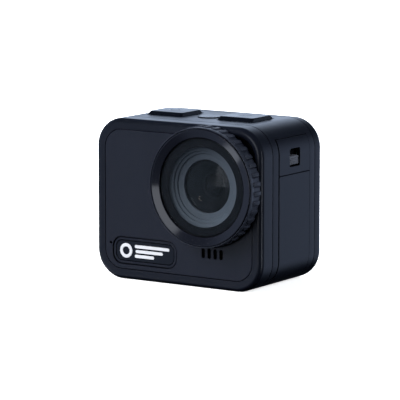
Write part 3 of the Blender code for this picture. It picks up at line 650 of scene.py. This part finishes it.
def build_middle():
    rings = []
    for inset, along in edge_steps(MIDDLE_EDGE):
        rings.append((body_outline(inset), FRONT_SEAM + MIDDLE_FRONT_GAP + along))
    for inset, along in reversed(edge_steps(MIDDLE_EDGE)):
        rings.append((body_outline(inset), REAR_SEAM - REAR_GAP - along))
    shell = loft("middle_shell", rings, closed=True, sharp=50)
    _, _, d0, d1, _, _ = extent_of("battery_door")
    latch_top = extent_of("latch_cover")[5]
    pin_x, _, pin_z = middle_of("door_hinge_pin")
    tools = [block("door_tool", pin_x + DOOR_CUT_X, HALF + OVERSHOOT,
                   d0 - DOOR_CUT_FRONT, d1 + DOOR_CUT_BACK, -OVERSHOOT, latch_top + DOOR_CUT_TOP),
             block("knuckle_tool", pin_x - KNUCKLE_X[0], pin_x + KNUCKLE_X[1], *KNUCKLE_DEPTHS,
                   -OVERSHOOT, KNUCKLE_TOP),
             prism("pin_tool", circle(pin_x, pin_z, PIN_HOLE_R, 24), d0 - OVERSHOOT, d1 + OVERSHOOT)]
    high_cut = (HEIGHT - TOP_CUT, HEIGHT + OVERSHOOT)
    for node in ("record_button", "power_button"):
        x0, x1, b0, b1, _, _ = extent_of(node)
        outline = rounded_rect(x0 + BUTTON_CUT_INSET, x1 - BUTTON_CUT_INSET,
                               b0 + BUTTON_CUT_INSET, b1 - BUTTON_CUT_INSET, BUTTON_CUT_CORNER, 8)
        tools.append(prism(node + "_tool", outline, *high_cut, "top"))
    wx, wd, _ = middle_of("status_window")
    tools.append(prism("window_tool", circle(wx, wd, WINDOW_CUT_R, 96), *high_cut, "top"))
    tx, td, _ = middle_of("tripod_bushing")
    tools.append(prism("tripod_tool", circle(tx, td, SOCKET_CUT_R, 96), -OVERSHOOT, SOCKET_CUT, "top"))
    for i in range(SPEAKER_SLOTS):
        depth = SPEAKER_START + SPEAKER_PITCH * i
        slot = stadium(depth + SPEAKER_WIDTH / 2, *SPEAKER_Z, SPEAKER_WIDTH)
        tools.append(prism("speaker_tool_%d" % i, slot, -HALF - OVERSHOOT, -HALF + SPEAKER_CUT, "side"))
    cut(shell, tools)
    round_edges(shell, MIDDLE_ROUND, 2, 50)
    finish(shell, HOUSING, replaced=["middle_housing"])
    # Painted shade: the front-facing faces at the front seam are painted dark.
    shade_gap(shell, lambda normal, x, depth, z: normal.y < -FACING and depth < FRONT_SEAM + MIDDLE_SHADE)


def build_rear():
    rings = []
    for inset, along in edge_steps(REAR_EDGE):
        rings.append((body_outline(inset), REAR_SEAM + REAR_GAP + along))
    for step in range(REAR_ROUND_STEPS + 1):
        angle = math.radians(90 * step / REAR_ROUND_STEPS)
        inset = REAR_ROUND * (1 - math.cos(angle))
        rings.append((body_outline(inset), BACK - REAR_ROUND + REAR_ROUND * math.sin(angle)))
    x0, x1, _, _, z0, z1 = extent_of("display_glass")
    gx0, gx1, gz0, gz1 = x0 - GLASS_GAP, x1 + GLASS_GAP, z0 - GLASS_GAP, z1 + GLASS_GAP

    def glass_outline(grow):
        return rounded_rect(gx0 - grow, gx1 + grow, gz0 - grow, gz1 + grow, GLASS_CORNER + grow)

    rings += [(glass_outline(grow), BACK - deep) for grow, deep in GLASS_STEPS]
    rings.append((body_outline(SHELL_WALL), BACK - REAR_PLATE))
    shell = loft("rear_shell", rings, closed=True, sharp=50)
    finish(shell, HOUSING, replaced=["rear_housing"])
    glass = plate("rear_glass", [rounded_rect(x0, x1, z0, z1, SCREEN_CORNER)],
                  BACK - SCREEN_DEPTHS[0], BACK - SCREEN_DEPTHS[1], SCREEN_ROUND)
    finish(glass, GLOSS, replaced=["display_glass"])


# ---------------------------------------------------------------- lens cover and lens
TEETH = 40
TOOTH_POINTS = 25
# Share of one pitch and height over it: valley at 0, a fine groove, a steep flank, the ridge at 1, a flank.
TOOTH = ((0.0, 0.0), (0.40, 0.0), (0.45, -0.55), (0.50, -0.55), (0.56, 0.92), (0.60, 1.0), (0.93, 1.0),
         (0.97, 0.85), (1.0, 0.0))
# Radius and distance behind the cover's front.
GRIP_FRONT = ((18.50, 0.20), (18.53, 0.13), (18.60, 0.10), (18.68, 0.13), (18.74, 0.22), (18.76, 0.35))
# Radius, height of the teeth and depth.
GRIP_BACK = ((18.76, 0, -4.14), (18.72, 0, -4.05), (18.60, 0.05, -3.99), (18.56, 0.20, -3.90),
             (18.55, 0.38, -3.78), (18.55, 0.45, -3.62), (18.55, 0.45, -0.50), (18.55, 0.42, -0.30),
             (18.54, 0.30, -0.12), (18.50, 0.0, 0.0), (17.6, 0, 0.05),
             (17.6, 0, 1.9), (16.4, 0, 1.9), (16.4, 0, -4.3), (17.2, 0, -4.3))
TRIM_LIP = ((18.22, 0.14), (18.18, 0.05), (18.10, 0.01), (18.00, 0.0), (17.90, 0.02))
# Radius and depth.
TRIM_BACK = ((15.70, -4.84), (15.60, -4.79), (15.54, -4.70), (15.53, -4.30), (16.2, -4.20), (17.0, -4.62))
GUTTER = ((15.10, -3.86), (15.53, -3.86), (15.53, -3.6), (15.10, -3.6))
FLAT_GLASS = ((14.9, -4.62), (15.06, -4.60), (15.12, -4.54), (15.12, -4.12), (14.9, -4.05))
PRINTED_MASK = ((12.50, -4.0), (15.12, -4.0), (15.12, -3.9), (12.50, -3.9))
STEPPED_BAFFLE = (
    (13.6, -3.50), (12.55, -3.50), (12.42, -3.46), (12.34, -3.36), (12.20, -3.22), (11.55, -3.02),
    (11.42, -2.96), (11.36, -2.88), (11.34, -2.62), (11.24, -2.56), (10.55, -2.38), (10.42, -2.32),
    (10.36, -2.24), (10.34, -2.02), (10.24, -1.96), (8.60, -1.55), (8.44, -1.48), (8.36, -1.38),
    (8.34, -0.95), (12.6, -1.7), (14.7, -1.7), (14.7, -2.6), (13.6, -2.6))
INNER_FUNNEL = ((8.15, -0.55), (7.6, -0.5), (6.0, 0.9), (5.9, 1.1), (4.5, 2.1), (4.4, 2.5),
                (3.6, 2.9), (3.6, 3.4), (8.15, 3.4))
# Radius, depth of the edge, bulge and depth of the flat back.
FRONT_LENS = (8.25, -0.95, 1.15, -0.6)
INNER_LENS = (3.75, 3.0, 1.6, 3.3)
DOME_STEPS = 18


def tooth_height(share):
    for (s0, h0), (s1, h1) in zip(TOOTH, TOOTH[1:]):
        if s0 <= share <= s1:
            return h0 + (h1 - h0) * (share - s0) / (s1 - s0)
    return 0.0


def grip_outline(radius, height):
    points = []
    count = TEETH * TOOTH_POINTS
    for i in range(count):
        share = (i % TOOTH_POINTS) / TOOTH_POINTS
        angle = 2 * math.pi * i / count
        r = radius + height * tooth_height(share)
        points.append((LENS_X + r * math.cos(angle), LENS_Z + r * math.sin(angle)))
    return points


def build_cover():
    profile = [(17.2, 0, -4.60), (18.50, 0, -4.60)]
    profile += [(radius, 0, COVER_FRONT + behind) for radius, behind in GRIP_FRONT]
    profile += GRIP_BACK
    rings = [(grip_outline(radius, height), depth) for radius, height, depth in profile]
    grip = loft("knurled_cover", rings, closed=True, sharp=35)
    finish(grip, GRIP, "lens_cover", ["grip_ring"])

    profile = [(18.22, -4.62)] + [(radius, COVER_FRONT + behind) for radius, behind in TRIM_LIP]
    trim = turned("chamfer_ring", profile + list(TRIM_BACK), sharp=50)
    finish(trim, TRIM, "lens_cover", ["ring_trim"])
    # A dark ring between the glass edge and the trim: painted shade in the gutter.
    finish(turned("glass_gutter", GUTTER), SHADE_AND_PRINT_BLACK, "lens_cover")
    finish(turned("flat_glass", FLAT_GLASS, closed=False), COVER, "lens_cover", ["cover_glass"])
    finish(turned("printed_mask", PRINTED_MASK), MASK, "lens_cover", ["glass_mask"])


def dome_lens(name, radius, edge_depth, bulge, back):
    points = []
    for step in range(1, DOME_STEPS + 1):
        r = radius * step / DOME_STEPS
        points.append((r, edge_depth - bulge * (1 - (r / radius) ** 2)))
    points.append((radius, back))
    points.append((radius / DOME_STEPS, back))
    return turned(name, points, closed=False, count=96)


def build_lens():
    baffle = turned("stepped_baffle", STEPPED_BAFFLE, sharp=30)
    finish(baffle, BAFFLE, replaced=["lens_baffle"])
    finish(dome_lens("front_lens", *FRONT_LENS), LENS, replaced=["front_element"])
    finish(turned("inner_funnel", INNER_FUNNEL, sharp=30), CHIP)
    finish(dome_lens("inner_lens", *INNER_LENS), INNER)


# ---------------------------------------------------------------- buttons and window
CAP_INSET, CAP_CORNER = 0.78, 0.9
# Shrink along X, shrink along Y, and height: over the top of the body, then below the button's top.
CAP_LOW = ((0.0, 0.0, -1.6), (0.0, 0.0, -0.10), (0.01, 0.05, 0.02))
CAP_HIGH = ((0.24, 1.36, 0.18), (0.29, 1.50, 0.08), (0.38, 1.64, 0.02), (0.52, 1.80, 0.0))
MARK_DEPTH, MARK_ROUND = 0.02, 0.004
RECORD_SHIFT, RECORD_RADII = 0.2, (1.5, 1.15)
# Half length, distance to the front and to the rear, and corner of the rounded rectangle.
POWER_OUTLINES = ((1.9, 0.9, 1.3, 0.5), (1.6, 0.6, 1.0, 0.3))
# Radius and height over the top of the body.
WINDOW_DISC = ((3.82, -1.6), (3.82, 0.16), (3.80, 0.23), (3.74, 0.28), (3.62, 0.30), (3.2, 0.31),
               (1.5, 0.33), (0.05, 0.34))


def build_button(node, body, symbol):
    x, depth, _ = middle_of(node)
    x0, x1, d0, d1, _, top = extent_of(node)
    half_x, half_d = (x1 - x0) / 2 - CAP_INSET, (d1 - d0) / 2 - CAP_INSET
    steps = [(shrink_x, shrink_d, HEIGHT + above) for shrink_x, shrink_d, above in CAP_LOW]
    steps += [(shrink_x, shrink_d, top - below) for shrink_x, shrink_d, below in CAP_HIGH]
    rings = []
    for shrink_x, shrink_d, z in steps:
        outline = rounded_rect(x - half_x + shrink_x, x + half_x - shrink_x,
                               depth - half_d + shrink_d, depth + half_d - shrink_d, CAP_CORNER, 8)
        rings.append((outline, z))
    button = loft(node + "_cap", rings, "top", sharp=30)
    finish(button, BUTTON, body, [node])
    mark = plate(node + "_mark", symbol(x, depth), top - MARK_DEPTH, top, MARK_ROUND, "top")
    finish(mark, SHADE_AND_PRINT_BLACK, body)


def record_symbol(x, depth):
    return [circle(x, depth + RECORD_SHIFT, radius, 40) for radius in RECORD_RADII]


def power_symbol(x, depth):
    return [rounded_rect(x - half, x + half, depth - front, depth + rear, corner, 6)
            for half, front, rear, corner in POWER_OUTLINES]


def build_top():
    build_button("record_button", "record_key", record_symbol)
    build_button("power_button", "power_key", power_symbol)
    x, depth, _ = middle_of("status_window")
    rings = [(circle(x, depth, radius, 96), HEIGHT + above) for radius, above in WINDOW_DISC]
    window = loft("window_disc", rings, "top")
    finish(window, BUTTON, replaced=["status_window"])


# ---------------------------------------------------------------- door and latch
SIDE_FRONT_GAP, SIDE_BACK_GAP, SIDE_ROUND, SIDE_SHADE = 0.12, 0.04, 0.07, 0.2
DOOR_TOP_GAP, LATCH_LOW_GAP = 0.03, 0.02
KNUCKLE_R, KNUCKLE_TURN = 0.85, (-80, -310)
NOTCH_X, NOTCH_DEPTHS, NOTCH_TOP = (2, 1.8), (13.3, 23.7), 2.5
SIDE_CUT = 4
# Slot of the latch as depth and Z: the upper part is a little narrower.
SLOT_UPPER = (17.1, 22.5, 40.6, 43.6)
SLOT_LOWER = (16.45, 22.4, 37.9, 43.25)
SLOT_CORNER = 0.35
SLOT_SHADE_DEPTHS, SLOT_SHADE_Z, SLOT_SHADE_FACING = (16, 23), (37.5, 44), 0.5
PLATE_WALL, PLATE_Z, PLATE_DEPTHS = 0.6, (37.5, 42.6), (15.4, 23.7)
KNOB_LOW, KNOB_HIGH, KNOB_DEPTHS, KNOB_ROUND = 38.25, 41.25, (16.75, 21.9), 0.10
# Distance in from the knob's face, and Z, round its lower and its upper edge.
KNOB_FOOT = ((0.45, 38.25), (0.1, 38.5))
KNOB_HEAD = ((0.0, 40.8), (0.15, 41.1), (0.5, 41.25))
RIBS, RIB_START, RIB_PITCH = 4, 38.65, 0.52
RIB = ((0.0, 0.0), (0.12, 0.07), (0.12, 0.2), (0.0, 0.27))


def build_door():
    corner_x = HALF - CORNER
    _, _, d0, d1, _, top = extent_of("battery_door")
    pin_x, _, pin_z = middle_of("door_hinge_pin")
    outline = [(HALF, top + DOOR_TOP_GAP), (HALF, CORNER)]
    outline += arc(corner_x, CORNER, CORNER, 0, -90, 30)[1:]
    outline += arc(pin_x, pin_z, KNUCKLE_R, *KNUCKLE_TURN, 24)
    outline += arc(corner_x, CORNER, CORNER - SHELL_WALL, -90, 0, 30)
    outline.append((HALF - SHELL_WALL, top + DOOR_TOP_GAP))
    door = prism("door_shell", outline, d0 + SIDE_FRONT_GAP, d1 + SIDE_BACK_GAP)
    low, high = pin_x - NOTCH_X[0], pin_x + NOTCH_X[1]
    cut(door, [block("notch_a", low, high, d0 - OVERSHOOT, NOTCH_DEPTHS[0], -OVERSHOOT, NOTCH_TOP),
               block("notch_b", low, high, NOTCH_DEPTHS[1], d1 + OVERSHOOT, -OVERSHOOT, NOTCH_TOP),
               prism("door_pin_tool", circle(pin_x, pin_z, PIN_HOLE_R, 24), d0 - OVERSHOOT, d1 + OVERSHOOT)])
    round_edges(door, SIDE_ROUND, 3, 50)
    finish(door, HOUSING, "door", ["battery_door"])
    # Painted shade: the door's front-facing faces and the top faces at its upper edge, in the gaps, are
    # painted dark.
    shade_gap(door, lambda normal, x, depth, z:
              normal.y < -FACING or (normal.z > FACING and z > top - SIDE_SHADE))


def build_latch():
    _, _, d0, d1, z0, z1 = extent_of("latch_cover")
    corner_x, corner_z = HALF - CORNER, HEIGHT - CORNER
    inner = CORNER - SHELL_WALL
    rise = z1 - corner_z
    outline = [(HALF - SHELL_WALL, z0 - LATCH_LOW_GAP), (HALF, z0 - LATCH_LOW_GAP)]
    outline += arc(corner_x, corner_z, CORNER, 0, math.degrees(math.asin(rise / CORNER)), 16)
    outline += arc(corner_x, corner_z, inner, math.degrees(math.asin(rise / inner)), 0, 12)
    cover = prism("latch_plate", outline, d0 + SIDE_FRONT_GAP, d1 + SIDE_BACK_GAP)
    cut(cover, [prism(name, rounded_rect(*sides, SLOT_CORNER, 6), HALF - SIDE_CUT, HALF + OVERSHOOT, "side")
                for name, sides in (("slot_upper", SLOT_UPPER), ("slot_lower", SLOT_LOWER))])
    round_edges(cover, SIDE_ROUND, 3, 50)
    finish(cover, HOUSING, replaced=["latch_cover"])

    # Painted shade: the latch cover's gap faces and the walls of its slots are painted dark.
    def in_gap(normal, x, depth, z):
        in_slot = (SLOT_SHADE_DEPTHS[0] < depth < SLOT_SHADE_DEPTHS[1]
                   and SLOT_SHADE_Z[0] < z < SLOT_SHADE_Z[1] and normal.x < SLOT_SHADE_FACING)
        return normal.y < -FACING or (normal.z > FACING and z > z1 - SIDE_SHADE) or in_slot

    shade_gap(cover, in_gap)
    x0, x1, _, _, _, _ = extent_of("latch_slider")
    profile = [(x0 + PLATE_WALL, KNOB_LOW)] + [(x1 - inwards, z) for inwards, z in KNOB_FOOT]
    for i in range(RIBS):
        start = RIB_START + i * RIB_PITCH
        profile += [(x1 - inwards, start + above) for inwards, above in RIB]
    profile += [(x1 - inwards, z) for inwards, z in KNOB_HEAD] + [(x0 + PLATE_WALL, KNOB_HIGH)]
    knob = prism("slider_knob", profile, *KNOB_DEPTHS)
    round_edges(knob, KNOB_ROUND, 2, 30)
    finish(knob, SLIDER, "latch")
    low, high = PLATE_Z
    outline = [(x0, low), (x0 + PLATE_WALL, low), (x0 + PLATE_WALL, high), (x0, high)]
    # The plate behind the knob is a dark sheet: painted shade in the slot.
    finish(prism("slider_plate", outline, *PLATE_DEPTHS), SHADE_AND_PRINT_BLACK, "latch", ["latch_slider"])


# ---------------------------------------------------------------- stage, light and camera
SKY_TINT = (0.64, 0.77, 1.0)
COOL_TINT = (0.56, 0.69, 1.0)
SKY_FLOOR = 0.055
# Azimuth, elevation, inner and outer angle in degrees, and strength of each glow in the sky.
BACK_LOBE = (207, 13, 8, 25, 1.45)
COOL_LOBES = ((-52, -14, 22, 34, 0.36), (150, -7, 10, 28, 0.31),
              (172, -5, 6, 22, 1.00), (262, 12, 14, 34, 0.45))
HORIZON = (-0.52, -0.34)
BACKDROP = 1.05
LIGHT_DISTANCE = 0.9
LIGHT_AIM = (0, 0, 26)
KEY_POWER = 13.8
SOFTBOX = (0.6, 0.6)
# Name, azimuth, elevation, size in metres, power, colour, and whether it shows in reflections.
LIGHTS = (
    ("key_diffuse", -40, 33, SOFTBOX, KEY_POWER, (0.96, 0.97, 1.0), False),
    ("fill_diffuse", 100, 25, SOFTBOX, KEY_POWER * 0.45, (0.9, 0.94, 1.0), False),
    ("rear_diffuse", 215, 30, SOFTBOX, KEY_POWER * 0.9, (0.92, 0.95, 1.0), False),
    ("front_patch", -8, 6, (0.30, 0.40), 0.92, (0.85, 0.90, 1.0), True),
    ("left_patch", -64, -24, (0.30, 0.16), 0.28, (0.85, 0.90, 1.0), True),
    ("right_strip", 76, -6, (0.10, 0.60), 1.0, (0.80, 0.87, 1.0), True),
    ("lens_spark", -44, -20, (0.05, 0.07), 0.06, (1.0, 0.84, 0.70), True),
)
FLOOR_HALF = 4.0
FLOOR_NOISE, FLOOR_DETAIL, FLOOR_ROUGHNESS, FLOOR_SPECULAR = 3.0, 3.0, 0.8, 0.1
FLOOR_DARK, FLOOR_LIGHT = (0.93, 0.93, 0.94), (0.96, 0.96, 0.965)
# Distances from the floor's middle and strengths of the floor's own glow: the glow is dimmer near the middle,
# a painted shade under and round the camera.
GLOW_REACH, GLOW_LEVELS = (0.02, 0.16), (0.70, 1.0)
CAMERA_AZIMUTH, CAMERA_ELEVATION, CAMERA_DISTANCE = 33.36, 8.6, 893.5
CAMERA_CENTRE_DEPTH, CAMERA_RIGHT, CAMERA_UP = 17.8, 2.77, 0.81
SENSOR, FOCAL_LENGTH, CLIP_START = 36, 253.3, 0.05


def sky_direction(azimuth, elevation):
    """Unit vector towards a place in the sky; azimuth 0 is in front, 90 to the right, in degrees."""
    a, e = math.radians(azimuth), math.radians(elevation)
    return Vector((math.sin(a) * math.cos(e), -math.cos(a) * math.cos(e), math.sin(e)))


def area_light(name, azimuth, elevation, size, energy, colour, in_reflections):
    """A softbox on a sphere round the camera."""
    light = bpy.data.lights.new(name, "AREA")
    light.shape = "RECTANGLE"
    light.size, light.size_y = size
    light.energy = energy
    light.color = colour
    obj = bpy.data.objects.new(name, light)
    bpy.context.scene.collection.objects.link(obj)
    direction = sky_direction(azimuth, elevation)
    obj.location = Vector(LIGHT_AIM) * MM + direction * LIGHT_DISTANCE
    obj.rotation_euler = direction.to_track_quat("Z", "Y").to_euler()
    obj.visible_glossy = in_reflections


def sky_lobe(nodes, links, direction, azimuth, elevation, inner, outer, strength):
    """Brightness that fades from inner to outer degrees away from a direction of the sky."""
    dot = nodes.new("ShaderNodeVectorMath")
    dot.operation = "DOT_PRODUCT"
    dot.inputs[1].default_value = sky_direction(azimuth, elevation)
    links.new(direction, dot.inputs[0])
    fade = nodes.new("ShaderNodeMapRange")
    fade.interpolation_type = "SMOOTHSTEP"
    fade.inputs["From Min"].default_value = math.cos(math.radians(outer))
    fade.inputs["From Max"].default_value = math.cos(math.radians(inner))
    fade.inputs["To Min"].default_value = 0.0
    fade.inputs["To Max"].default_value = strength
    links.new(dot.outputs["Value"], fade.inputs["Value"])
    return fade.outputs["Result"]


def combined(nodes, links, first, second, operation="ADD"):
    node = nodes.new("ShaderNodeMath")
    node.operation = operation
    links.new(first, node.inputs[0])
    if isinstance(second, float):
        node.inputs[1].default_value = second
    else:
        links.new(second, node.inputs[1])
    return node.outputs["Value"]


def build_floor():
    half = FLOOR_HALF
    mesh = bpy.data.meshes.new("floor")
    corners = [(-half, -half, 0), (half, -half, 0), (half, half, 0), (-half, half, 0)]
    mesh.from_pydata(corners, [], [(0, 1, 2, 3)])
    floor = bpy.data.objects.new("floor", mesh)
    bpy.context.scene.collection.objects.link(floor)
    material, nodes, links, shader = node_tree("pale_floor")
    tone = noise(nodes, links, FLOOR_NOISE, FLOOR_DETAIL)
    links.new(two_colours(nodes, links, tone.outputs["Fac"], FLOOR_DARK, FLOOR_LIGHT),
              shader.inputs["Base Color"])
    shader.inputs["Roughness"].default_value = FLOOR_ROUGHNESS
    shader.inputs["Specular IOR Level"].default_value = FLOOR_SPECULAR
    shader.inputs["Emission Color"].default_value = (1, 1, 1, 1)
    # The floor glows by itself to look evenly pale; towards its middle the glow is dimmed, a painted shade
    # under and round the camera.
    distance = nodes.new("ShaderNodeVectorMath")
    distance.operation = "LENGTH"
    links.new(nodes["Texture Coordinate"].outputs["Object"], distance.inputs[0])
    glow = nodes.new("ShaderNodeMapRange")
    glow.interpolation_type = "SMOOTHSTEP"
    glow.inputs["From Min"].default_value, glow.inputs["From Max"].default_value = GLOW_REACH
    glow.inputs["To Min"].default_value, glow.inputs["To Max"].default_value = GLOW_LEVELS
    links.new(distance.outputs["Value"], glow.inputs["Value"])
    links.new(glow.outputs["Result"], shader.inputs["Emission Strength"])
    mesh.materials.append(material)
    floor.visible_glossy = False
    floor.visible_diffuse = False


def build_sky():
    world = bpy.data.worlds.new("studio")
    bpy.context.scene.world = world
    world.use_nodes = True
    nodes = world.node_tree.nodes
    links = world.node_tree.links
    direction = nodes.new("ShaderNodeTexCoord").outputs["Generated"]
    level = combined(nodes, links, sky_lobe(nodes, links, direction, *BACK_LOBE), SKY_FLOOR)
    height = nodes.new("ShaderNodeSeparateXYZ")
    links.new(direction, height.inputs[0])
    below = nodes.new("ShaderNodeMapRange")
    below.interpolation_type = "SMOOTHSTEP"
    below.inputs["From Min"].default_value, below.inputs["From Max"].default_value = HORIZON
    links.new(height.outputs["Z"], below.inputs["Value"])
    level = combined(nodes, links, level, below.outputs["Result"], "MULTIPLY")
    cool = sky_lobe(nodes, links, direction, *COOL_LOBES[0])
    for lobe in COOL_LOBES[1:]:
        cool = combined(nodes, links, cool, sky_lobe(nodes, links, direction, *lobe))
    dim = nodes["Background"]
    dim.inputs["Color"].default_value = (*SKY_TINT, 1)
    links.new(level, dim.inputs["Strength"])
    blue = nodes.new("ShaderNodeBackground")
    blue.inputs["Color"].default_value = (*COOL_TINT, 1)
    links.new(cool, blue.inputs["Strength"])
    both = nodes.new("ShaderNodeAddShader")
    links.new(dim.outputs["Background"], both.inputs[0])
    links.new(blue.outputs["Background"], both.inputs[1])
    white = nodes.new("ShaderNodeBackground")
    white.inputs["Color"].default_value = (1, 1, 1, 1)
    white.inputs["Strength"].default_value = BACKDROP
    path = nodes.new("ShaderNodeLightPath")
    mix = nodes.new("ShaderNodeMixShader")
    links.new(path.outputs["Is Camera Ray"], mix.inputs["Fac"])
    links.new(both.outputs["Shader"], mix.inputs[1])
    links.new(white.outputs["Background"], mix.inputs[2])
    links.new(mix.outputs["Shader"], nodes["World Output"].inputs["Surface"])


def build_camera():
    azimuth = math.radians(CAMERA_AZIMUTH)
    centre = Vector((0, FACE_Y + CAMERA_CENTRE_DEPTH, HEIGHT / 2))
    direction = sky_direction(CAMERA_AZIMUTH, CAMERA_ELEVATION)
    right = Vector((math.cos(azimuth), math.sin(azimuth), 0))
    up = direction.cross(right)
    target = centre - right * CAMERA_RIGHT - up * CAMERA_UP
    data = bpy.data.cameras.new("camera")
    data.sensor_width = SENSOR
    data.lens = FOCAL_LENGTH
    data.clip_start = CLIP_START
    camera = bpy.data.objects.new("camera", data)
    bpy.context.scene.collection.objects.link(camera)
    camera.location = (target + direction * CAMERA_DISTANCE) * MM
    camera.rotation_euler = direction.to_track_quat("Z", "Y").to_euler()
    bpy.context.scene.camera = camera


bpy.context.scene.view_settings.view_transform = "Standard"
build_camera()
build_floor()
build_sky()
for light in LIGHTS:
    area_light(*light)
build_front_shell()
build_panel()
build_middle()
build_rear()
build_cover()
build_lens()
build_top()
build_door()
build_latch()
